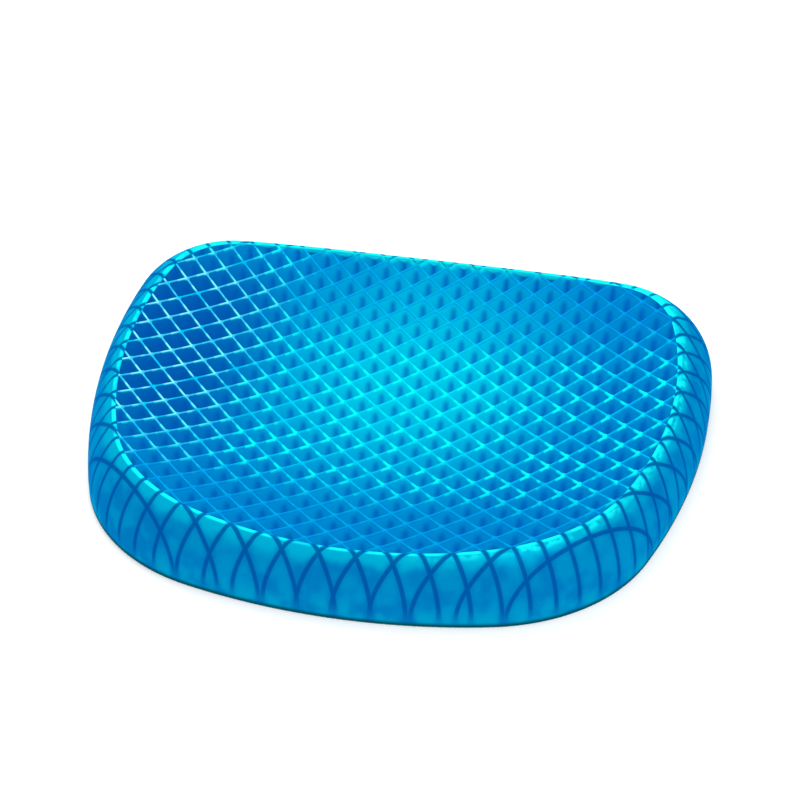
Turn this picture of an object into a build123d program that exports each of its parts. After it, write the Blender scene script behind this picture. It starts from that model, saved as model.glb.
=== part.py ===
from build123d import *
from math import floor
import os

# Gel seat cushion: one soft moulding, drawn as the outer wall and the webs that it is made of.
# Millimetres. +X is the sitter's right, +Y is the back edge, +Z is up.
# The origin is on the resting plane, at the middle of the outline.

# ---- outline of the foot, seen from above: four large arcs with rounded corners ----
pad_width = 418.0            # widest place, left to right
pad_depth = 364.0            # front edge to back edge, on the centre line
widest_behind_centre = 78.0  # the sides are widest this far behind the middle, and taper forwards
front_arc_radius = 385.0
back_arc_radius = 1200.0
side_arc_radius = 499.0
front_corner_radius = 122.0
back_corner_radius = 74.0

# ---- height and dish ----
centre_height = 20.4         # height of the webs in the middle of the dish
dish_radius = 680.0          # the seating surface is part of a ball of this radius

# ---- outer wall ----
wall_thickness = 2.6
upright_height = 5.5         # the wall is upright from the ground to here
wall_curve_radius = 53.0     # and from there it leans inwards on this radius

# ---- diagonal webs ----
web_pitch = 15.6             # from one web to the next, measured square to them
web_thickness = 2.0
crossing_behind_centre = -4.3  # a crossing lies on the centre line, this far behind the middle
lap_height = 10.0            # at a crossing the left-leaning web is below this and the other above
least_web_reach = 1.5        # a web reaches at least this far past the wall's inner face, or is left out

web_angle = 45.0             # the webs run this far round from the X axis, one way and the other
overrun = 5.0                # how far a cutting shape runs past what it cuts
top_height = upright_height + wall_curve_radius  # nothing is higher than this


def foot_outline(inset):
    """Four overlapping discs leave a bowed four-sided shape, and its corners are then rounded.

    An outline that lies further in has the same centres, and each radius is smaller by the inset.
    """
    side_centre_x = pad_width / 2 - side_arc_radius
    shape = Pos(0, front_arc_radius - pad_depth / 2) * Circle(front_arc_radius - inset)
    shape &= Pos(0, pad_depth / 2 - back_arc_radius) * Circle(back_arc_radius - inset)
    shape &= Pos(side_centre_x, widest_behind_centre) * Circle(side_arc_radius - inset)
    shape &= Pos(-side_centre_x, widest_behind_centre) * Circle(side_arc_radius - inset)
    front_corners = shape.vertices().sort_by(Axis.Y)[:2]
    shape = fillet(front_corners, front_corner_radius - inset)
    back_corners = shape.vertices().sort_by(Axis.Y)[-2:]
    return fillet(back_corners, back_corner_radius - inset)


def dome(shape, radius):
    """A block that is upright at its foot and then leans inwards on one radius to its flat top."""
    block = extrude(Pos(0, 0, -overrun) * shape, overrun + upright_height + radius)
    block = fillet(block.faces().sort_by(Axis.Z)[-1].edges(), radius)
    ground = Pos(0, 0, -overrun) * Box(2 * pad_width, 2 * pad_depth, 2 * overrun)
    return block - ground


def without_seating_space(solid):
    """The solid less the ball that is the dish, which leaves the back corners highest."""
    return solid - Pos(0, 0, centre_height + dish_radius) * Sphere(dish_radius)


def largest_solid(shape):
    """The one solid that is wanted, without the crumbs that a cut can leave."""
    return shape.solids().sort_by(SortBy.VOLUME)[-1]


def web_frame(lean):
    """Local X runs along a web, and local Y square to it, from the crossing on the centre line."""
    return Pos(0, crossing_behind_centre) * Rot(0, 0, web_angle * lean)


def web_places(shape, lean):
    """Where the webs of one direction stand, in their frame, as far as the wall's inner face."""
    box = (web_frame(lean).inverse() * shape).bounding_box()
    count = floor((pad_width + pad_depth) / web_pitch)
    spots = [k * web_pitch for k in range(-count, count + 1)]
    return [s for s in spots if box.min.Y + least_web_reach < s < box.max.Y - least_web_reach]


def web(inside, lean, place, crossings):
    """One web, cut to the inside of the wall, with a notch where each other web passes."""
    length = 2 * (pad_width + pad_depth)
    plate = Box(length, web_thickness, 2 * top_height)
    body = inside & (web_frame(lean) * Pos(0, place) * plate)
    if lean > 0:
        low, high = -overrun, lap_height
    else:
        low, high = lap_height, top_height + overrun
    notch = Box(web_thickness, web_thickness + overrun, high - low)
    middle = (low + high) / 2
    notches = [web_frame(lean) * Pos(x, place, middle) * notch for x in crossings]
    return largest_solid(body - notches)


os.makedirs("parts", exist_ok=True)

foot = foot_outline(0)
inner_foot = foot_outline(wall_thickness)
outside = without_seating_space(dome(foot, wall_curve_radius))
inside = without_seating_space(dome(inner_foot, wall_curve_radius - wall_thickness))

export_step(largest_solid(outside - inside), "parts/outer_wall.step")

right_places = web_places(inner_foot, 1)
left_places = web_places(inner_foot, -1)

# a place of a left-leaning web is a distance along every right-leaning one, and the other way
# round with its sign turned
for number, place in enumerate(right_places, start=1):
    export_step(web(inside, 1, place, left_places), f"parts/web_right_{number:02d}.step")
for number, place in enumerate(left_places, start=1):
    crossings = [-x for x in right_places]
    export_step(web(inside, -1, place, crossings), f"parts/web_left_{number:02d}.step")
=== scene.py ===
"""Looks of a gel seat cushion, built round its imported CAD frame.

The cushion is one translucent moulding: an outer wall that leans in to a soft rim, and diagonal
webs whose top edges follow a shallow dish. Lengths are in metres. +X is the sitter's right, +Y
the back edge and +Z up, with the origin on the resting plane at the middle of the outline.
"""

import logging
import math
from dataclasses import dataclass, field
from enum import Enum
from typing import Any

import bpy
import numpy as np
from mathutils import Matrix, Vector


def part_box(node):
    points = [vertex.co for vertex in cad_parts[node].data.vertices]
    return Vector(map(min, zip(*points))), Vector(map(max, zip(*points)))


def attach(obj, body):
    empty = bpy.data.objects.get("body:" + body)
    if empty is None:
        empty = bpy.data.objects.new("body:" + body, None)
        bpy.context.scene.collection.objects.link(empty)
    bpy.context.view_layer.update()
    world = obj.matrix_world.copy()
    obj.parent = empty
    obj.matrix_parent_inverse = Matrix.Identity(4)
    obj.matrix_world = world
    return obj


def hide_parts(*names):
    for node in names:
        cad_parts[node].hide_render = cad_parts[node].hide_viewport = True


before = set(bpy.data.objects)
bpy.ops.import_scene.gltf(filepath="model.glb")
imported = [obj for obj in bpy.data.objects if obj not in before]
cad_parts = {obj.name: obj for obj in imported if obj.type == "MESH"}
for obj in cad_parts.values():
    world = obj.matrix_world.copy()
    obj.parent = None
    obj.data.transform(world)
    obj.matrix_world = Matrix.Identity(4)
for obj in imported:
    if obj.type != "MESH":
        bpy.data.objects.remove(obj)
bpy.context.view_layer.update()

SHARP_ANGLE = math.radians(50)
LOG = logging.getLogger("gel_cushion")

Array = np.ndarray
Span = tuple[float, float]
Plan = tuple[float, float]
Place = tuple[float, float, float]
Colour = tuple[float, float, float, float]


# ---------------------------------------------------------------- geometry of the moulding


@dataclass(frozen=True)
class Outline:
    """Foot of the cushion from above: four large arcs, joined by corner arcs that are tangent.

    The shape is convex and smooth, so each point of it has its own outward direction, and an
    inset of it is the same arcs with smaller radii.
    """

    width: float
    depth: float
    widest_behind_centre: float = 0.078
    front_radius: float = 0.385
    back_radius: float = 1.200
    side_radius: float = 0.499
    front_corner: float = 0.122
    back_corner: float = 0.074

    def back_centre(self) -> float:
        """Y of the back arc's centre."""
        return self.depth / 2 - self.back_radius

    def _arcs(self) -> tuple[Array, Array, Array]:
        """Centres, radii and limiting directions of the nine arcs, anticlockwise from the front.

        Returns:
            Centres (9, 2), radii (9,) and the ten outward directions between arcs, in radians.
        """
        front = np.array([0.0, self.front_radius - self.depth / 2])
        back = np.array([0.0, self.back_centre()])
        side = np.array([self.width / 2 - self.side_radius, self.widest_behind_centre])
        low = self._corner(front, self.front_radius, side, self.side_radius, self.front_corner, 1)
        high = self._corner(back, self.back_radius, side, self.side_radius, self.back_corner, -1)
        turns = [self._direction(low - front), self._direction(low - side)]
        turns += [self._direction(high - side), self._direction(high - back)]
        breaks = [-math.pi / 2, *turns, *(math.pi - t for t in reversed(turns)), 1.5 * math.pi]
        flip = np.array([-1.0, 1.0])
        centres = [front, low, side, high, back, high * flip, side * flip, low * flip, front]
        half = [self.front_radius, self.front_corner, self.side_radius, self.back_corner]
        radii = [*half, self.back_radius, *reversed(half)]
        return np.array(centres), np.array(radii), np.array(breaks)

    @staticmethod
    def _corner(a: Array, ra: float, b: Array, rb: float, r: float, turn: int) -> Array:
        """Centre of the corner arc of radius r inside two circles: where the circles, each made
        smaller by r, cross.

        Args:
            a: Centre of the first circle.
            ra: Its radius.
            b: Centre of the second circle.
            rb: Its radius.
            r: Radius of the corner arc.
            turn: 1 or -1, for the crossing on the right or on the left of the way from a to b.

        Returns:
            The centre.
        """
        gap = b - a
        span = np.hypot(*gap)
        along = ((ra - r) ** 2 - (rb - r) ** 2 + span**2) / (2 * span)
        aside = math.sqrt((ra - r) ** 2 - along**2)
        unit = gap / span
        return a + unit * along - turn * aside * np.array([unit[1], -unit[0]])

    @staticmethod
    def _direction(v: Array) -> float:
        """Angle of a flat vector from +X, in radians."""
        return math.atan2(v[1], v[0])

    def around(self, count: int) -> tuple[Array, Array]:
        """Points at even steps along the outline, and their outward unit directions.

        Along one arc the direction turns evenly with the length, so it is read from the lengths
        of the arcs, and the point is the arc's centre plus its radius times the direction.

        Args:
            count: How many points.

        Returns:
            Points (count, 2) and directions (count, 2).
        """
        centres, radii, breaks = self._arcs()
        ends = np.concatenate([[0.0], np.cumsum(radii * np.diff(breaks))])
        along = np.linspace(0.0, ends[-1], count, endpoint=False)
        angle = np.interp(along, ends, breaks)
        which = np.clip(np.searchsorted(ends, along, side="right") - 1, 0, len(radii) - 1)
        out = np.stack([np.cos(angle), np.sin(angle)], axis=1)
        return centres[which] + radii[which, None] * out, out


@dataclass(frozen=True)
class Dish:
    """Height of the seating surface, which is part of a ball."""

    low: float = 0.0204
    radius: float = 0.680

    def height(self, x: Array, y: Array) -> Array:
        """Its lowest point plus R, less the root of R squared less x squared less y squared."""
        return self.low + self.radius - np.sqrt(self.radius**2 - x**2 - y**2)


@dataclass(frozen=True)
class Mould:
    """What the wall and the webs share: the outline, the dish and the wall's curve."""

    outline: Outline
    dish: Dish
    upright: float = 0.0055
    curve: float = 0.053
    thickness: float = 0.0026
    pitch: float = 0.0156
    web_thickness: float = 0.0020
    crossing_y: float = -0.0043
    least_web_reach: float = 0.0015

    def inset(self, z: Array, depth: float) -> Array:
        """How far in from the foot a layer of the wall stands at height z.

        The layer is upright at first. From there its section is an arc of radius R about a point
        R in from the foot, so it stands at R less the root of (R - depth) squared less the square
        of its height over that point.

        Args:
            z: Heights.
            depth: How far inside the outer face the layer lies.

        Returns:
            Distances in from the foot.
        """
        return self.curve - np.sqrt((self.curve - depth) ** 2 - np.maximum(z - self.upright, 0) ** 2)

    def height_over(self, inside: Array, depth: float) -> Array:
        """Height of a layer of the wall over points: the upright part, plus the root of
        (R - depth) squared less (R - D) squared, where D is how far in the point is.

        Args:
            inside: How far the points are in from the foot. Past R, the layer stays level.
            depth: How far inside the outer face the layer lies.

        Returns:
            Heights.
        """
        inside = np.clip(inside, depth, self.curve)
        return self.upright + np.sqrt((self.curve - depth) ** 2 - (self.curve - inside) ** 2)


def grid_faces(rows: int, columns: int, wrap_rows: bool, wrap_columns: bool) -> Array:
    """Four-sided faces between neighbouring points of a grid, as indices into it.

    Args:
        rows: Points the first way.
        columns: Points the second way.
        wrap_rows: Whether the last row joins the first.
        wrap_columns: Whether the last column joins the first.

    Returns:
        Indices (faces, 4).
    """
    r = np.arange(rows if wrap_rows else rows - 1)[:, None]
    c = np.arange(columns if wrap_columns else columns - 1)[None, :]
    r2, c2 = (r + 1) % rows, (c + 1) % columns
    corners = [r * columns + c, r * columns + c2, r2 * columns + c2, r2 * columns + c]
    return np.stack([np.broadcast_to(k, np.broadcast(r, c).shape).ravel() for k in corners], axis=1)


def facing_out(points: Array, faces: Array) -> Array:
    """The faces, turned round if they enclose a negative volume.

    The volume is a sixth of the sum, over the two triangles of each face, of the first corner's
    dot product with the cross product of the other two.

    Args:
        points: Corners (n, 3).
        faces: Indices (m, 4).

    Returns:
        Indices (m, 4).
    """
    a, b, c, d = (points[faces[:, k]] for k in range(4))
    volume = np.einsum("ij,ij->", a, np.cross(b, c)) + np.einsum("ij,ij->", a, np.cross(c, d))
    return faces if volume > 0 else faces[:, ::-1]


def make_piece(name: str, points: Array, faces: Array, material: bpy.types.Material) -> bpy.types.Object:
    """A smooth-shaded object at the origin, made from points and four-sided faces.

    Args:
        name: The object's name.
        points: Corners (n, 3), in the frame's metres.
        faces: Indices (m, 4). A face that names one corner twice is a triangle.
        material: Its one material.

    Returns:
        The object, linked to the scene.
    """
    mesh = bpy.data.meshes.new(name)
    corners = [list(dict.fromkeys(face)) for face in faces.tolist()]
    mesh.from_pydata(points.tolist(), [], corners)
    mesh.materials.append(material)
    mesh.shade_smooth()
    mesh.set_sharp_from_angle(angle=SHARP_ANGLE)
    mesh.update()
    piece = bpy.data.objects.new(name, mesh)
    bpy.context.scene.collection.objects.link(piece)
    return piece


# ---------------------------------------------------------------- shader expressions


class Signal:
    """A number that varies over a surface. Sums and products of signals add Math nodes."""

    def __init__(self, graph: "Graph", socket: bpy.types.NodeSocket) -> None:
        """Wraps one output socket of a graph."""
        self.graph = graph
        self.socket = socket

    def _math(self, operation: str, *values: Any) -> "Signal":
        """The result of one Math node on some values, in order."""
        inputs = dict(enumerate(values))
        return self.graph.signal("ShaderNodeMath", {"operation": operation}, inputs)

    def __add__(self, other: Any) -> "Signal":
        """self + other."""
        return self._math("ADD", self, other)

    __radd__ = __add__

    def __sub__(self, other: Any) -> "Signal":
        """self - other."""
        return self._math("SUBTRACT", self, other)

    def __rsub__(self, other: Any) -> "Signal":
        """other - self."""
        return self._math("SUBTRACT", other, self)

    def __mul__(self, other: Any) -> "Signal":
        """self * other."""
        return self._math("MULTIPLY", self, other)

    __rmul__ = __mul__

    def __truediv__(self, other: Any) -> "Signal":
        """self / other."""
        return self._math("DIVIDE", self, other)

    def root(self) -> "Signal":
        """Square root."""
        return self._math("SQRT", self)

    def least(self, other: Any) -> "Signal":
        """The smaller of the two."""
        return self._math("MINIMUM", self, other)

    def most(self, other: Any) -> "Signal":
        """The larger of the two."""
        return self._math("MAXIMUM", self, other)

    def to_nearest(self, step: float) -> "Signal":
        """Signed distance from the nearest multiple of step."""
        return self._math("WRAP", self, step / 2, -step / 2)

    def size(self) -> "Signal":
        """The number without its sign."""
        return self._math("ABSOLUTE", self)

    def ramp(self, start: float, end: float) -> "Signal":
        """0 at start, 1 at end, and a smooth S between them; start may be above end."""
        inputs = {"Value": self, "From Min": start, "From Max": end, "To Min": 0.0, "To Max": 1.0}
        return self.graph.signal("ShaderNodeMapRange", {"interpolation_type": "SMOOTHSTEP"}, inputs)


class Graph:
    """One material: its node tree, and the place and facing that its patterns read."""

    def __init__(self, name: str) -> None:
        """Starts a material with only its coordinates.

        Args:
            name: The material's name.
        """
        self.material = bpy.data.materials.new(name)
        self.material.use_nodes = True
        self.tree = self.material.node_tree
        self.tree.nodes.clear()
        coordinates = self.node("ShaderNodeTexCoord").outputs
        self.place = coordinates["Object"]
        self.x, self.y, self.z = self._split(self.place)
        self.facing_x, self.facing_y, _ = self._split(coordinates["Normal"])

    def _split(self, vector: bpy.types.NodeSocket) -> list[Signal]:
        """The three numbers of a vector."""
        return [Signal(self, s) for s in self.node("ShaderNodeSeparateXYZ", {}, {0: vector}).outputs]

    def node(self, kind: str, settings: dict | None = None, inputs: dict | None = None) -> bpy.types.Node:
        """One node of any kind.

        Args:
            kind: Blender's name for the node type.
            settings: Its properties, set before its sockets.
            inputs: Socket number or name to a number, a colour, a socket or a Signal.

        Returns:
            The node.
        """
        made = self.tree.nodes.new(kind)
        for key, value in (settings or {}).items():
            setattr(made, key, value)
        for key, value in (inputs or {}).items():
            source = value.socket if isinstance(value, Signal) else value
            if isinstance(source, bpy.types.NodeSocket):
                self.tree.links.new(source, made.inputs[key])
            else:
                made.inputs[key].default_value = source
        return made

    def signal(self, kind: str, settings: dict, inputs: dict) -> Signal:
        """The first output of a new node."""
        return Signal(self, self.node(kind, settings, inputs).outputs[0])

    def mix(self, share: Any, first: Any, second: Any) -> bpy.types.NodeSocket:
        """A colour between two: the first where share is 0 and the second where it is 1."""
        settings = {"data_type": "RGBA", "clamp_factor": True}
        return self.node("ShaderNodeMix", settings, {0: share, 6: first, 7: second}).outputs[2]

    def noise(self, waves: float, detail: float = 2.0) -> Signal:
        """Smooth noise from 0 to 1, with about that many waves in a metre."""
        inputs = {"Vector": self.place, "Scale": waves, "Detail": detail}
        return self.signal("ShaderNodeTexNoise", {}, inputs)

    def patches(self, waves: float, edge: Span) -> Signal:
        """Soft-edged patches of noise: 0 between them and 1 inside them."""
        return self.noise(waves).ramp(*edge)

    def finish(self, inputs: dict) -> bpy.types.Material:
        """Adds the Principled shader and the output.

        Args:
            inputs: The shader's socket names to their values or links.

        Returns:
            The material.
        """
        shader = self.node("ShaderNodeBsdfPrincipled", {}, inputs)
        self.node("ShaderNodeOutputMaterial", {}, {"Surface": shader.outputs[0]})
        return self.material


def colour(red: int, green: int, blue: int) -> Colour:
    """A colour of a screen as the linear values that shaders use.

    Args:
        red: From 0 to 255.
        green: From 0 to 255.
        blue: From 0 to 255.

    Returns:
        The linear colour, opaque.
    """
    share = [v / 255 for v in (red, green, blue)]
    linear = [c / 12.92 if c <= 0.04045 else ((c + 0.055) / 1.055) ** 2.4 for c in share]
    return (*linear, 1.0)


# ---------------------------------------------------------------- finishes


@dataclass(frozen=True)
class GelFinish:
    """What both gel finishes share: the gloss, and the distances that their patterns follow.

    In each finish a span is where a pattern starts and where it is full. A depth is measured down
    from the seating surface, and a width from the middle of a web.
    """

    mould: Mould
    roughness: float = 0.36
    clear_gloss: float = 0.0
    tinted_gloss: float = 0.22
    edge_tint: Colour = (0.02, 0.70, 1.0, 1.0)
    cover: float = 0.46
    # Strength of the painted glow: emission that stands in for light coming through the gel.
    painted_glow: float = 0.50
    bump_strength: float = 0.12
    bump_height: float = 0.0006

    def depth(self, g: Graph) -> Signal:
        """How far a point lies below the seating surface: the ball's height, less its own."""
        dish = self.mould.dish
        return (dish.low + dish.radius) - (dish.radius**2 - g.x * g.x - g.y * g.y).root() - g.z

    def from_webs(self, g: Graph) -> tuple[Signal, Signal]:
        """Signed distance from the nearest right-leaning and the nearest left-leaning web."""
        back, share, pitch = g.y - self.mould.crossing_y, math.sqrt(0.5), self.mould.pitch
        return ((back - g.x) * share).to_nearest(pitch), ((back + g.x) * share).to_nearest(pitch)

    def dress(self, g: Graph, body: bpy.types.NodeSocket, relief: Signal) -> bpy.types.Material:
        """Ends the material: a glossy gel of one body colour, with a painted glow of that colour for light
        coming through the gel.

        Args:
            g: The material's graph.
            body: Its colour.
            relief: Height of the fine unevenness of the surface, from 0 to 1.

        Returns:
            The material.
        """
        uneven = {"Strength": self.bump_strength, "Distance": self.bump_height, "Height": relief}
        scattered = g.node("ShaderNodeVectorMath", {"operation": "SCALE"}, {0: body, 3: self.cover})
        return g.finish({
            "Base Color": scattered.outputs[0],
            "Roughness": self.roughness,
            "Specular IOR Level": self.clear_gloss,
            "Specular Tint": self.edge_tint,
            "Metallic": self.tinted_gloss,
            # Painted glow: the body colour as emission.
            "Emission Color": body,
            "Emission Strength": self.painted_glow,
            "Normal": g.node("ShaderNodeBump", {}, uneven).outputs[0],
        })


@dataclass(frozen=True)
class WallFinish(GelFinish):
    """Glossy translucent wall: darker where a web backs it, with painted highlights along the rim and painted
    shade round the webs and at its edges.
    """

    body: Colour = colour(0, 153, 200)
    # Painted light: the lighter gel colour near the rim.
    painted_light_upper: Colour = colour(0, 170, 208)
    # Darker gel for random clouds, and the colour of the painted shade round the webs.
    cloud_and_shade: Colour = colour(0, 112, 184)
    web_line: Colour = colour(0, 78, 156)
    dark_edge_shade: Colour = colour(0, 80, 96)
    rim_highlight: Colour = colour(20, 246, 250)
    least_slant: float = 0.45

    upper_depth: Span = (0.012, 0.003)
    cloud_waves: float = 55.0
    cloud_edge: Span = (0.42, 0.66)
    cloud_depth: Span = (0.004, 0.010)
    cloud_share: float = 0.80
    knot_width: Span = (0.0060, 0.0015)
    knot_depth: Span = (0.003, 0.006)
    knot_share: float = 0.5
    halo_width: Span = (0.0045, 0.0010)
    halo_depth: Span = (0.001, 0.008)
    halo_share: float = 0.40
    belt_depth: Span = (0.006, 0.014)
    belt_height: Span = (0.004, 0.018)
    belt_share: float = 0.45

    back_y: Span = (0.105, 0.145)
    inner_facing: Span = (-0.10, -0.40)
    band_depth: Span = (0.0120, 0.0050)
    band_waves: float = 90.0
    band_edge: Span = (0.34, 0.60)
    band_least: float = 0.60
    line_width: Span = (0.0019, 0.0008)
    line_height: Span = (0.0010, 0.0150)
    line_share: float = 0.85

    foot_height: Span = (0.0042, 0.0012)
    rim_depth: Span = (0.0011, 0.0003)
    rim_gap: Span = (0.0008, 0.0030)
    rim_waves: float = 75.0
    rim_edge: Span = (0.32, 0.58)
    rim_least: float = 0.40
    right_x: Span = (0.020, 0.110)
    right_waves: float = 170.0
    right_edge: Span = (0.36, 0.58)
    right_depth: Span = (0.0050, 0.0016)
    right_share: float = 0.8
    over_depth: Span = (0.0024, 0.0014)
    over_facing: Span = (0.30, 0.60)
    over_share: float = 0.85
    relief_waves: float = 260.0
    relief_detail: float = 3.0

    def _slant(self, across: Signal) -> Signal:
        """How fast the distance from a web grows along the surface: the root of 1 less half the
        square of a signal, which is the facing across the web times the root of 2."""
        return (1.0 - across * across * 0.5).root().most(self.least_slant)

    def _back(self, g: Graph) -> Signal:
        """1 along the back of the pad, to 0 further forward."""
        return g.y.ramp(*self.back_y)

    def _gel(self, g: Graph, depth: Signal, nearest: Signal, farther: Signal) -> bpy.types.NodeSocket:
        """The gel: painted light near the rim, random darker clouds, painted shade round the webs and their
        crossings, and a darker belt at mid height.

        Args:
            g: The material's graph.
            depth: Depth below the seating surface.
            nearest: Distance from the nearer web, along the surface.
            farther: Distance from the nearest web that leans the other way.

        Returns:
            The colour.
        """
        clouds = g.patches(self.cloud_waves, self.cloud_edge) * depth.ramp(*self.cloud_depth)
        # Painted shade near the crossings of the webs behind the wall.
        knot = farther.ramp(*self.knot_width) * depth.ramp(*self.knot_depth)
        # Painted shade round each web behind the wall.
        halo = nearest.ramp(*self.halo_width) * depth.ramp(*self.halo_depth)
        # Darker round the middle height of the wall.
        belt = depth.ramp(*self.belt_depth) * g.z.ramp(*self.belt_height)
        # Painted light: the gel lighter near the rim, below the rim highlight.
        body = g.mix(depth.ramp(*self.upper_depth), self.body, self.painted_light_upper)
        body = g.mix(clouds * self.cloud_share, body, self.cloud_and_shade)
        body = g.mix(knot * self.knot_share, body, self.cloud_and_shade)
        body = g.mix(halo * self.halo_share, body, self.cloud_and_shade)
        return g.mix(belt * self.belt_share, body, self.cloud_and_shade)

    def _back_and_webs(self, g: Graph, body: bpy.types.NodeSocket, depth: Signal,
                       nearest: Signal) -> bpy.types.NodeSocket:
        """A painted band of light along the back rim, then a line at each web, but not on the inner face at
        the back.

        Args:
            g: The material's graph.
            body: The colour so far.
            depth: Depth below the seating surface.
            nearest: Distance from the nearer web, along the surface.

        Returns:
            The colour.
        """
        back = self._back(g)
        # Painted light: a bright band along the back rim, in patches.
        spots = g.patches(self.band_waves, self.band_edge) * (1 - self.band_least) + self.band_least
        body = g.mix(back * depth.ramp(*self.band_depth) * spots, body, self.rim_highlight)
        outside = 1.0 - back * g.facing_y.ramp(*self.inner_facing)
        line = nearest.ramp(*self.line_width) * g.z.ramp(*self.line_height) * outside
        return g.mix(line * self.line_share, body, self.web_line)

    def _edges(self, g: Graph, body: bpy.types.NodeSocket, depth: Signal,
               nearest: Signal) -> bpy.types.NodeSocket:
        """Painted shade as a teal line at the foot, a painted highlight along the rim, wider at the right,
        and painted shade as a teal line where the back rim turns over.

        Args:
            g: The material's graph.
            body: The colour so far.
            depth: Depth below the seating surface.
            nearest: Distance from the nearer web, along the surface.

        Returns:
            The colour.
        """
        # Painted shade: a dark teal line along the foot.
        body = g.mix(g.z.ramp(*self.foot_height), body, self.dark_edge_shade)
        # Painted highlight along the rim, between the webs, in patches, wider at the right.
        spots = g.patches(self.rim_waves, self.rim_edge) * (1 - self.rim_least) + self.rim_least
        right = g.x.ramp(*self.right_x) * g.patches(self.right_waves, self.right_edge)
        wide = depth.ramp(*self.right_depth) * right * self.right_share
        rim = depth.ramp(*self.rim_depth).most(wide) * nearest.ramp(*self.rim_gap) * spots
        body = g.mix(rim, body, self.rim_highlight)
        # Painted shade: a dark teal line where the back rim turns over.
        over = self._back(g) * depth.ramp(*self.over_depth) * g.facing_y.ramp(*self.over_facing)
        return g.mix(over * self.over_share, body, self.dark_edge_shade)

    def build(self) -> bpy.types.Material:
        """Makes the material: the gel, what shows through it, then the painted shade and highlight at its
        edges.

        Returns:
            The material.
        """
        g = Graph("gel_wall")
        depth = self.depth(g)
        one, two = self.from_webs(g)
        one = one.size() / self._slant(g.facing_y - g.facing_x)
        two = two.size() / self._slant(g.facing_y + g.facing_x)
        nearest = one.least(two)
        body = self._gel(g, depth, nearest, one.most(two))
        body = self._back_and_webs(g, body, depth, nearest)
        body = self._edges(g, body, depth, nearest)
        return self.dress(g, body, g.noise(self.relief_waves, self.relief_detail))


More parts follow.
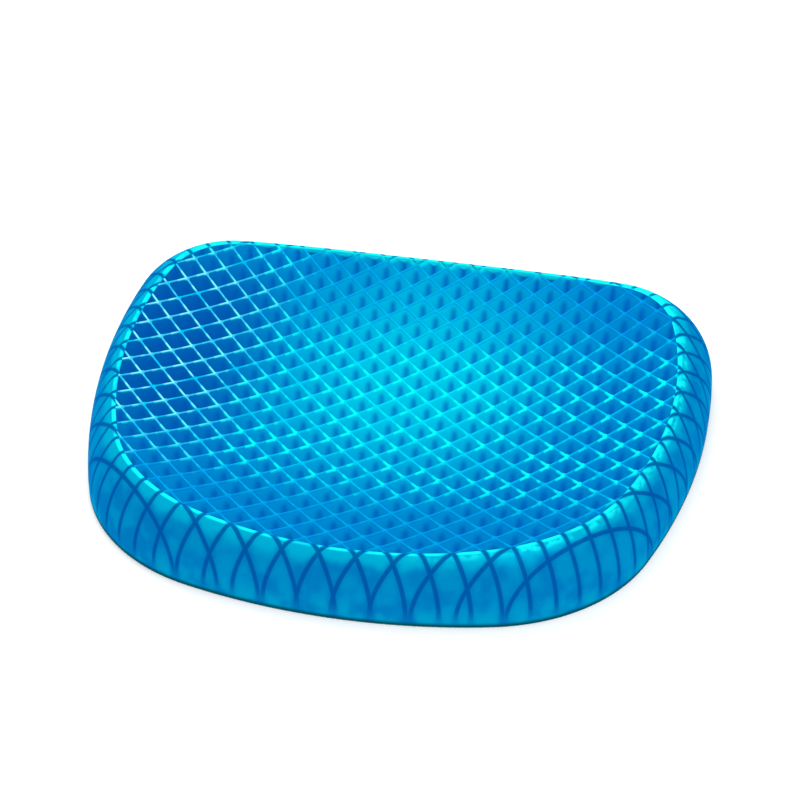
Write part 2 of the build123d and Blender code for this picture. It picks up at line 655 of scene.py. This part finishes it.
@dataclass(frozen=True)
class WebFinish(GelFinish):
    """Webs: painted shade, deep blue, at the left, painted cyan light where light comes through, and painted
    highlights on the tops.
    """

    left_shade: Colour = colour(0, 108, 192)
    plain: Colour = colour(0, 153, 219)
    lit: Colour = colour(0, 215, 240)
    painted_shade: Colour = colour(0, 104, 204)
    soft_highlight: Colour = colour(0, 205, 240)
    bright_highlight: Colour = colour(10, 248, 248)
    white_highlight: Colour = colour(150, 250, 255)
    tick: Colour = colour(0, 92, 150)

    lit_centre: Plan = (0.010, 0.048)
    lit_reach: Plan = (0.138, 0.178)
    lit_waves: float = 9.0
    lit_waver: float = 0.3
    lit_edge: Span = (1.1, 0.1)
    left_x: Span = (-0.075, -0.145)
    left_front_y: Span = (-0.130, -0.020)
    left_back_y: Span = (0.165, 0.085)
    back_y: Span = (0.040, 0.110)
    back_x: Span = (-0.130, -0.060)
    front_y: Span = (-0.065, -0.120)

    knot_width: Span = (0.0062, 0.0006)
    knot_depth: Span = (0.0015, 0.0075)
    knot_share: float = 0.75
    shade_depth: Span = (0.006, 0.028)
    shade_share: float = 0.45

    top_depth: Span = (0.0016, 0.0007)
    top_quiet: float = 0.42
    ridge_depth: Span = (0.00045, 0.00008)
    ridge_share: float = 0.40
    ridge_left: float = 0.40
    ridge_quiet: float = 0.26
    ridge_back: float = 0.14
    patch_waves: float = 60.0
    patch_edge: Span = (0.36, 0.56)
    corner_near: Span = (0.0010, -0.0004)
    corner_far: Span = (-0.0072, -0.0036)
    corner_share: float = 0.95
    corner_quiet: float = 0.92
    corner_left: float = 0.80
    sparkle_least: float = 0.15
    sparkle_corner: float = 0.80

    wall_gap: Span = (0.0240, 0.0185)
    wall_depth: Span = (0.006, 0.001)
    wall_share: float = 0.8
    tick_share: float = 0.85
    relief_waves: float = 300.0

    def _lit_middle(self, g: Graph) -> Signal:
        """1 in the middle of the pad, where light comes through from below, to 0 far out.

        It is a ramp of the distance from a centre, measured in reaches, with a slow waver.

        Args:
            g: The material's graph.

        Returns:
            The share of light.
        """
        x = (g.x - self.lit_centre[0]) / self.lit_reach[0]
        y = (g.y - self.lit_centre[1]) / self.lit_reach[1]
        waver = (g.noise(self.lit_waves) - 0.5) * self.lit_waver
        return ((x * x + y * y).root() + waver).ramp(*self.lit_edge)

    def _by_back_wall(self, g: Graph) -> Signal:
        """1 where a web meets the back wall: the back arc's radius, less the distance from its
        centre, ramped.

        Args:
            g: The material's graph.

        Returns:
            The share.
        """
        outline = self.mould.outline
        back = g.y - outline.back_centre()
        return (outline.back_radius - (g.x * g.x + back * back).root()).ramp(*self.wall_gap)

    def build(self) -> bpy.types.Material:
        """Makes the material: the body, its painted light and shade, then the painted highlights along the
        webs' tops.

        Returns:
            The material.
        """
        g = Graph("gel_web")
        one, two = self.from_webs(g)
        depth = self.depth(g)
        left = g.x.ramp(*self.left_x) * g.y.ramp(*self.left_front_y) * g.y.ramp(*self.left_back_y)
        back = g.y.ramp(*self.back_y) * g.x.ramp(*self.back_x)
        quiet = back.most(g.y.ramp(*self.front_y))
        patches = g.patches(self.patch_waves, self.patch_edge)
        top, ridge = depth.ramp(*self.top_depth), depth.ramp(*self.ridge_depth)

        body = g.mix(self._lit_middle(g), self.plain, self.lit)
        # Painted shade: deep blue over the left of the pad.
        body = g.mix(left, body, self.left_shade)
        # Painted shade: dark streaks down the cells' corners under each crossing.
        knot = one.size().most(two.size()).ramp(*self.knot_width) * depth.ramp(*self.knot_depth)
        body = g.mix(knot * self.knot_share, body, self.painted_shade)
        # Painted shade, darker deeper down in the cells.
        body = g.mix(depth.ramp(*self.shade_depth) * self.shade_share, body, self.painted_shade)
        # Painted shade on the tops at the front and back.
        body = g.mix(top * quiet * self.top_quiet, body, self.painted_shade)

        # Painted highlight along the webs' rounded tops, stronger at the left and fainter at the front and
        # back.
        share = self.ridge_share + left * self.ridge_left - quiet * self.ridge_quiet
        body = g.mix(ridge * (share - back * self.ridge_back), body, self.soft_highlight)
        aside = (two - one) * math.sqrt(0.5)
        corner = aside.ramp(*self.corner_near) * aside.ramp(*self.corner_far)
        # Painted glints in white on the tops at the left, most beside the crossings.
        painted_glint = patches * (self.sparkle_least + corner * self.sparkle_corner) * left * ridge
        body = g.mix(painted_glint, body, self.white_highlight)
        # Painted highlight in a V on the tops just left of each crossing.
        corner = corner * patches * (1.0 - quiet * self.corner_quiet) * (1.0 - left * self.corner_left) * top
        body = g.mix(corner * self.corner_share, body, self.bright_highlight)

        by_wall = self._by_back_wall(g)
        # Painted light on the webs next to the back wall.
        body = g.mix(by_wall * depth.ramp(*self.wall_depth) * self.wall_share, body, self.bright_highlight)
        body = g.mix(by_wall * ridge * self.tick_share, body, self.tick)
        return self.dress(g, body, g.noise(self.relief_waves))


# ---------------------------------------------------------------- sub-assemblies


@dataclass
class Wall:
    """Outer wall: one closed shell, from its foot up to a rounded rim and down its inner face.

    The reaches are the shares of the wall's curve at which its rows start and end.
    """

    mould: Mould
    finish: WallFinish
    node: str = "outer_wall"
    steps_around: int = 640
    foot_rows: int = 3
    outer_rows: int = 18
    lip_rows: int = 6
    edge_rows: int = 4
    inner_rows: int = 9
    foot_round: float = 0.0008
    lip_before: float = 0.0030
    lip_after: float = 0.0022
    inner_round: float = 0.0009
    outer_reach: Span = (0.0, 0.97)
    inner_reach: Span = (0.92, 0.08)
    least_angle: float = 0.2
    halvings: int = 40

    def _meeting(self, foot: Array, out: Array, depth: float) -> Array:
        """Angle up the wall's arc at which a layer of the wall meets the seating surface.

        The range of angles is halved again and again, for all places at once.

        Args:
            foot: Points of the foot (n, 2).
            out: Their outward directions (n, 2).
            depth: How far inside the outer face the layer lies.

        Returns:
            Angles (n,), in radians.
        """
        low, high = np.full(len(foot), self.least_angle), np.full(len(foot), math.pi / 2)
        for _ in range(self.halvings):
            middle = (low + high) / 2
            inset, z = self._layer(middle, depth)
            place = foot - out * inset[:, None]
            under = z < self.mould.dish.height(place[:, 0], place[:, 1])
            low, high = np.where(under, middle, low), np.where(under, high, middle)
        return (low + high) / 2

    def _layer(self, angle: Array, depth: float) -> tuple[Array, Array]:
        """Inset and height of a layer at an angle t up the wall's arc: R less (R - depth) cos t,
        and the upright part plus (R - depth) sin t."""
        radius = self.mould.curve - depth
        return self.mould.curve - radius * np.cos(angle), self.mould.upright + radius * np.sin(angle)

    def _surface(self, foot: Array, out: Array, inset: Array) -> tuple[Array, Array]:
        """Inset and height of points on the seating surface, so far in from the foot."""
        place = foot - out * inset[:, None]
        return inset, self.mould.dish.height(place[:, 0], place[:, 1])

    @staticmethod
    def _bend(a: tuple, b: tuple, c: tuple, rows: int) -> list[tuple]:
        """A round from a to c that would be sharp at b: (1-t)^2 a + 2t(1-t) b + t^2 c.

        Args:
            a: Insets and heights where it starts.
            b: Those of the sharp corner.
            c: Those where it ends.
            rows: How many rows it has.

        Returns:
            Insets and heights of each row.
        """
        bend = []
        for t in np.linspace(0.0, 1.0, rows):
            weights = (1 - t) ** 2, 2 * t * (1 - t), t**2
            bend.append(tuple(sum(w * p[k] for w, p in zip(weights, (a, b, c))) for k in (0, 1)))
        return bend

    def _section(self, foot: Array, out: Array) -> list[tuple]:
        """The wall's section at every place, from the inner foot, under the wall, up its outer
        face, over the rim and down its inner face.

        Args:
            foot: Points of the foot (n, 2).
            out: Their outward directions (n, 2).

        Returns:
            Pairs of insets (n,) and heights (n,).
        """
        whole, none = np.ones(len(foot)), np.zeros(len(foot))
        t, r = self.mould.thickness, self.foot_round
        outer, inner = self._meeting(foot, out, 0.0), self._meeting(foot, out, t)
        leave = outer - self.lip_before / self.mould.curve
        join = inner - self.inner_round / self.mould.curve
        crest, edge = self._layer(outer, 0.0), self._layer(inner, t)
        over = self._surface(foot, out, crest[0] + self.lip_after)
        near = self._surface(foot, out, edge[0] - self.inner_round)
        rows = [(t * whole, none)]
        rows += self._bend((r * whole, none), (none, none), (none, r * whole), self.foot_rows)
        rows += [self._layer(leave * k, 0.0) for k in np.linspace(*self.outer_reach, self.outer_rows)]
        rows += self._bend(self._layer(leave, 0.0), crest, over, self.lip_rows)
        rows += self._bend(near, edge, self._layer(join, t), self.edge_rows)
        rows += [self._layer(join * k, t) for k in np.linspace(*self.inner_reach, self.inner_rows)]
        return rows

    def build(self) -> bpy.types.Object:
        """Returns:
            The piece.
        """
        foot, out = self.mould.outline.around(self.steps_around)
        rows = self._section(foot, out)
        layers = [np.column_stack([foot - out * inset[:, None], z]) for inset, z in rows]
        points = np.concatenate(layers)
        faces = facing_out(points, grid_faces(len(rows), len(foot), True, True))
        piece = make_piece("gel_outer_wall", points, faces, self.finish.build())
        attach(piece, "root")
        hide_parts(self.node)
        return piece


class Lean(Enum):
    """Which way a web leans, seen from above."""

    RIGHT = "web_right"
    LEFT = "web_left"

    def along(self) -> Array:
        """Unit direction along such a web."""
        sign = 1.0 if self is Lean.RIGHT else -1.0
        return np.array([1.0, sign]) * math.sqrt(0.5)

    def across(self) -> Array:
        """Unit direction square to such a web, in which its place is measured."""
        sign = 1.0 if self is Lean.RIGHT else -1.0
        return np.array([-sign, 1.0]) * math.sqrt(0.5)


@dataclass
class Webs:
    """Diagonal webs with rounded top edges, and the fillets where two of them cross.

    A web's ends run into the wall by a share, bite, of its thickness. The side levels are the
    shares of its height at which a web's side has points. A fillet column has a ring at each drop
    below the seating surface, drawn in by the scale beside it; its first ring is on the ground.
    """

    mould: Mould
    finish: WebFinish
    bite: float = 0.6
    columns: int = 72
    side_levels: tuple[float, ...] = (0.0, 0.35, 0.7)
    crown_points: int = 7
    fillet: float = 0.0019
    fillet_drops: tuple[float, ...] = (math.inf, 0.0012, 0.00045, 0.00015)
    fillet_scales: tuple[float, ...] = (1.0, 1.0, 0.86, 0.45)
    support_steps: int = 1440
    least_slope: float = 1e-6
    _foot: Array = field(init=False)
    _out: Array = field(init=False)

    def __post_init__(self) -> None:
        """Samples the outline once."""
        self._foot, self._out = self.mould.outline.around(self.support_steps)

    def _start(self) -> Array:
        """The crossing on the centre line."""
        return np.array([0.0, self.mould.crossing_y])

    def _inside(self, places: Array) -> Array:
        """How far inside the foot points (n, 2) are: the least distance to any of its tangents."""
        reach = np.einsum("ij,ij->i", self._foot, self._out)
        return (reach[None, :] - places @ self._out.T).min(axis=1)

    def places(self, lean: Lean) -> Array:
        """Where the webs of one direction stand: each pitch, as far as the wall's inner face.

        Args:
            lean: Their direction.

        Returns:
            Distances from the centre-line crossing, in order.
        """
        across = (self._foot - self._out * self.mould.thickness - self._start()) @ lean.across()
        reach = self.mould.least_web_reach
        count = int(self.mould.outline.width / self.mould.pitch)
        spots = np.arange(-count, count + 1) * self.mould.pitch
        return spots[(spots > across.min() + reach) & (spots < across.max() - reach)]

    def _ends(self, origin: Array, along: Array) -> tuple[float, float]:
        """Both ends of a line at the foot, where it enters the wall's thickness.

        A tangent of the foot with outward direction n and reach h cuts the line o + s u at
        s = (h - inset - o.n) / (u.n). The nearest such cut, each way, is the end.

        Args:
            origin: A point of the line, in plan.
            along: Its unit direction.

        Returns:
            The low and the high end, as distances from origin.
        """
        inset = self.mould.thickness * self.bite
        reach = np.einsum("ij,ij->i", self._foot, self._out) - self._out @ origin - inset
        slope = self._out @ along
        ahead, behind = slope > self.least_slope, slope < -self.least_slope
        return (reach[behind] / slope[behind]).max(), (reach[ahead] / slope[ahead]).min()

    def _top(self, plan: Array) -> Array:
        """Height of a web over points in plan: the seating surface, or the wall if it is lower."""
        under_wall = self.mould.height_over(self._inside(plan), self.mould.thickness * self.bite)
        return np.minimum(self.mould.dish.height(plan[:, 0], plan[:, 1]), under_wall)

    def _web(self, lean: Lean, place: float) -> tuple[Array, Array]:
        """Points and faces of one web.

        Its section is a closed loop: up one side, over a half-round top and down the other. Its
        columns run from end to end of the foot and stand closer near the ends, at the cosines of
        even angles, because the wall rises steeply there.

        Args:
            lean: Its direction.
            place: Its distance from the centre-line crossing.

        Returns:
            Points (n, 3) and faces (m, 4).
        """
        along, across = lean.along(), lean.across()
        origin = self._start() + across * place
        half = self.mould.web_thickness / 2
        turn = np.linspace(0.0, math.pi, self.crown_points)
        levels = np.array(self.side_levels)
        upright, level = np.full(len(levels), half), np.zeros(len(levels))
        side = np.concatenate([upright, half * np.cos(turn), -upright])
        share = np.concatenate([levels, np.ones(len(turn)), levels[::-1]])
        lift = np.concatenate([level, half * np.sin(turn), level])
        low, high = self._ends(origin, along)
        spread = (1 - np.cos(np.linspace(0.0, math.pi, self.columns))) / 2
        s = low + (high - low) * spread
        middle = origin + s[:, None] * along
        top = np.maximum(self._top(middle) - half, 0.0)
        plan = middle[None] + across * side[:, None, None]
        z = top[None, :] * share[:, None] + lift[:, None] * (top[None, :] > 0)
        points = np.concatenate([plan, z[..., None]], axis=-1).reshape(-1, 3)
        faces = grid_faces(len(side), self.columns, True, False)
        return points, np.concatenate([faces, self._caps(len(side), self.columns)])

    @staticmethod
    def _caps(rows: int, columns: int) -> Array:
        """Faces that close both ends of a loft: each row is joined to its opposite row, and a
        triangle, with its last corner named twice, fills the crown.

        Args:
            rows: Points round the section, an odd number.
            columns: Points along the loft.

        Returns:
            Indices (m, 4).
        """
        near = np.arange(rows // 2)
        far = rows - 1 - near
        crown = rows // 2
        strip = np.stack([near[:-1], near[1:], far[1:], far[:-1]], axis=1)
        cap = np.concatenate([strip, [[crown - 1, crown, crown + 1, crown + 1]]]) * columns
        return np.concatenate([cap, cap[:, ::-1] + columns - 1])

    def _crossings(self, place: float) -> Array:
        """Middles of the crossings on one right-leaning web that stand clear of the wall.

        Args:
            place: The web's distance from the centre-line crossing.

        Returns:
            Points (n, 2).
        """
        lean, wall = Lean.RIGHT, self.mould.thickness
        spots = self._start() + lean.across() * place + np.outer(self.places(Lean.LEFT), lean.along())
        deepest = self.mould.inset(self.mould.dish.height(*spots.T), wall)
        return spots[self._inside(spots) > deepest + self.fillet]

    def _fillets(self, crossings: Array) -> tuple[Array, Array]:
        """Columns that round the four inner corners of each crossing.

        The section in one quarter has three points: on one web's side, on the arc of radius r
        whose centre is r from both webs, and on the other web's side. The top is drawn in.

        Args:
            crossings: Middles of the crossings (n, 2).

        Returns:
            Points and faces of all the columns.
        """
        half, r = self.mould.web_thickness / 2, self.fillet
        far, near = half + r, half + r * (1 - math.sqrt(0.5))
        quarter = np.array([[far, half], [near, near], [half, far]])
        turn = np.array([[0, -1], [1, 0]])
        ring = np.concatenate([quarter @ np.linalg.matrix_power(turn, k).T for k in range(4)])
        ring = ring @ np.stack([Lean.RIGHT.along(), Lean.RIGHT.across()])
        top = self.mould.dish.height(crossings[:, 0], crossings[:, 1])
        drops, scales = np.array(self.fillet_drops), np.array(self.fillet_scales)
        z = np.maximum(top[:, None] - drops[None, :], 0.0)
        plan = crossings[:, None, None, :] + ring[None, None] * scales[None, :, None, None]
        z = np.broadcast_to(z[:, :, None, None], (*plan.shape[:3], 1))
        points = np.concatenate([plan, z], axis=-1)
        rows, columns = points.shape[1:3]
        one = np.concatenate([grid_faces(rows, columns, False, True), self._lids(rows, columns)])
        faces = one[None] + (np.arange(len(crossings)) * rows * columns)[:, None, None]
        return points.reshape(-1, 3), faces.reshape(-1, 4)

    @staticmethod
    def _lids(rows: int, columns: int) -> Array:
        """Faces that close the first and the last ring of a column, folded across the ring.

        Args:
            rows: Rings of the column.
            columns: Points round a ring, an even number.

        Returns:
            Indices (m, 4).
        """
        near = np.arange(columns // 2)
        far = columns - 1 - near
        strip = np.stack([near[:-1], near[1:], far[1:], far[:-1]], axis=1)
        return np.concatenate([strip, strip[:, ::-1] + (rows - 1) * columns])

    def _piece(self, lean: Lean, number: int, place: float, material: bpy.types.Material) -> bpy.types.Object:
        """One web, with the fillets of its crossings if it leans right, dressed, attached to the root body,
        and with its CAD part hidden.

        Args:
            lean: Its direction.
            number: Its number, from 1.
            place: Its distance from the centre-line crossing.
            material: Its material.

        Returns:
            The piece.
        """
        points, faces = self._web(lean, place)
        faces = facing_out(points, faces)
        if lean is Lean.RIGHT:
            more, columns = self._fillets(self._crossings(place))
            faces = np.concatenate([faces, facing_out(more, columns) + len(points)])
            points = np.concatenate([points, more])
        node = f"{lean.value}_{number:02d}"
        piece = make_piece(f"gel_{node}", points, faces, material)
        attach(piece, "root")
        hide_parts(node)
        return piece

    def build(self) -> list[bpy.types.Object]:
        """Builds every web.

        Returns:
            The pieces.
        """
        material = self.finish.build()
        made = []
        for lean in Lean:
            for number, place in enumerate(self.places(lean), start=1):
                made.append(self._piece(lean, number, place, material))
        return made


@dataclass(frozen=True)
class SoftLight:
    """A square area light that points at the middle of the cushion."""

    name: str
    place: Place
    size: float
    power: float

    def build(self) -> None:
        """Adds the light."""
        data = bpy.data.lights.new(self.name, "AREA")
        data.size = self.size
        data.energy = self.power
        light = bpy.data.objects.new(self.name, data)
        light.location = self.place
        light.rotation_euler = (-Vector(self.place)).to_track_quat("-Z", "Y").to_euler()
        bpy.context.scene.collection.objects.link(light)


@dataclass(frozen=True)
class Studio:
    """Pale floor, soft lights and the camera. Angles are in degrees, the lens in millimetres."""

    aim: Place = (0.0110, -0.0288, 0.0534)
    distance: float = 1.169
    azimuth: float = 9.63
    elevation: float = 35.3
    roll: float = 1.42
    lens: float = 82.4
    far_clip: float = 50.0
    floor_half: float = 6.0
    floor_drop: float = 0.0002
    floor_colour: Colour = (0.92, 0.92, 0.92, 1.0)
    floor_roughness: float = 0.9
    floor_glow: float = 0.12
    world_strength: float = 0.9
    lights: tuple[SoftLight, ...] = (
        SoftLight("key_light", (-0.7, 0.9, 1.5), 1.0, 18.0),
        SoftLight("fill_light", (0.9, -0.8, 1.4), 1.2, 12.0),
    )

    def _floor(self) -> None:
        """A large pale floor, just under the resting plane."""
        h, z = self.floor_half, -self.floor_drop
        corners = np.array([[-h, -h, z], [h, -h, z], [h, h, z], [-h, h, z]])
        material = Graph("floor_pale").finish({
            "Base Color": self.floor_colour,
            "Roughness": self.floor_roughness,
            "Emission Color": self.floor_colour,
            "Emission Strength": self.floor_glow,
        })
        make_piece("floor", corners, np.array([[0, 1, 2, 3]]), material)

    def _camera(self) -> None:
        """The camera, by its angles round the aim point, then rolled about its own axis."""
        a, e = math.radians(self.azimuth), math.radians(self.elevation)
        back = Vector((math.sin(a) * math.cos(e), -math.cos(a) * math.cos(e), math.sin(e)))
        data = bpy.data.cameras.new("camera")
        data.lens = self.lens
        data.clip_end = self.far_clip
        camera = bpy.data.objects.new("camera", data)
        turn = (-back).to_track_quat("-Z", "Y").to_matrix()
        turn = turn @ Matrix.Rotation(math.radians(self.roll), 3, "Z")
        camera.matrix_world = Matrix.Translation(Vector(self.aim) + back * self.distance) @ turn.to_4x4()
        bpy.context.scene.collection.objects.link(camera)
        bpy.context.scene.camera = camera

    def _world(self) -> None:
        """Even white light from all round."""
        world = bpy.data.worlds.new("studio")
        world.use_nodes = True
        background = world.node_tree.nodes["Background"]
        background.inputs["Color"].default_value = (1.0, 1.0, 1.0, 1.0)
        background.inputs["Strength"].default_value = self.world_strength
        bpy.context.scene.world = world

    def build(self) -> None:
        """Sets the stage."""
        self._floor()
        self._world()
        for light in self.lights:
            light.build()
        self._camera()
        bpy.context.scene.view_settings.view_transform = "Standard"
        LOG.info("studio: camera %.0f mm, %.2f m away", self.lens, self.distance)


def main() -> None:
    """Builds the cushion and its studio, and reports each piece."""
    logging.basicConfig(level=logging.INFO, format="%(name)s: %(message)s")
    low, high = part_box("outer_wall")
    mould = Mould(Outline(width=high.x - low.x, depth=high.y - low.y), Dish())
    pieces = [Wall(mould, WallFinish(mould)).build(), *Webs(mould, WebFinish(mould)).build()]
    for piece in pieces:
        LOG.info("%s: %d faces", piece.name, len(piece.data.polygons))
    Studio().build()


if __name__ == "__main__":
    main()
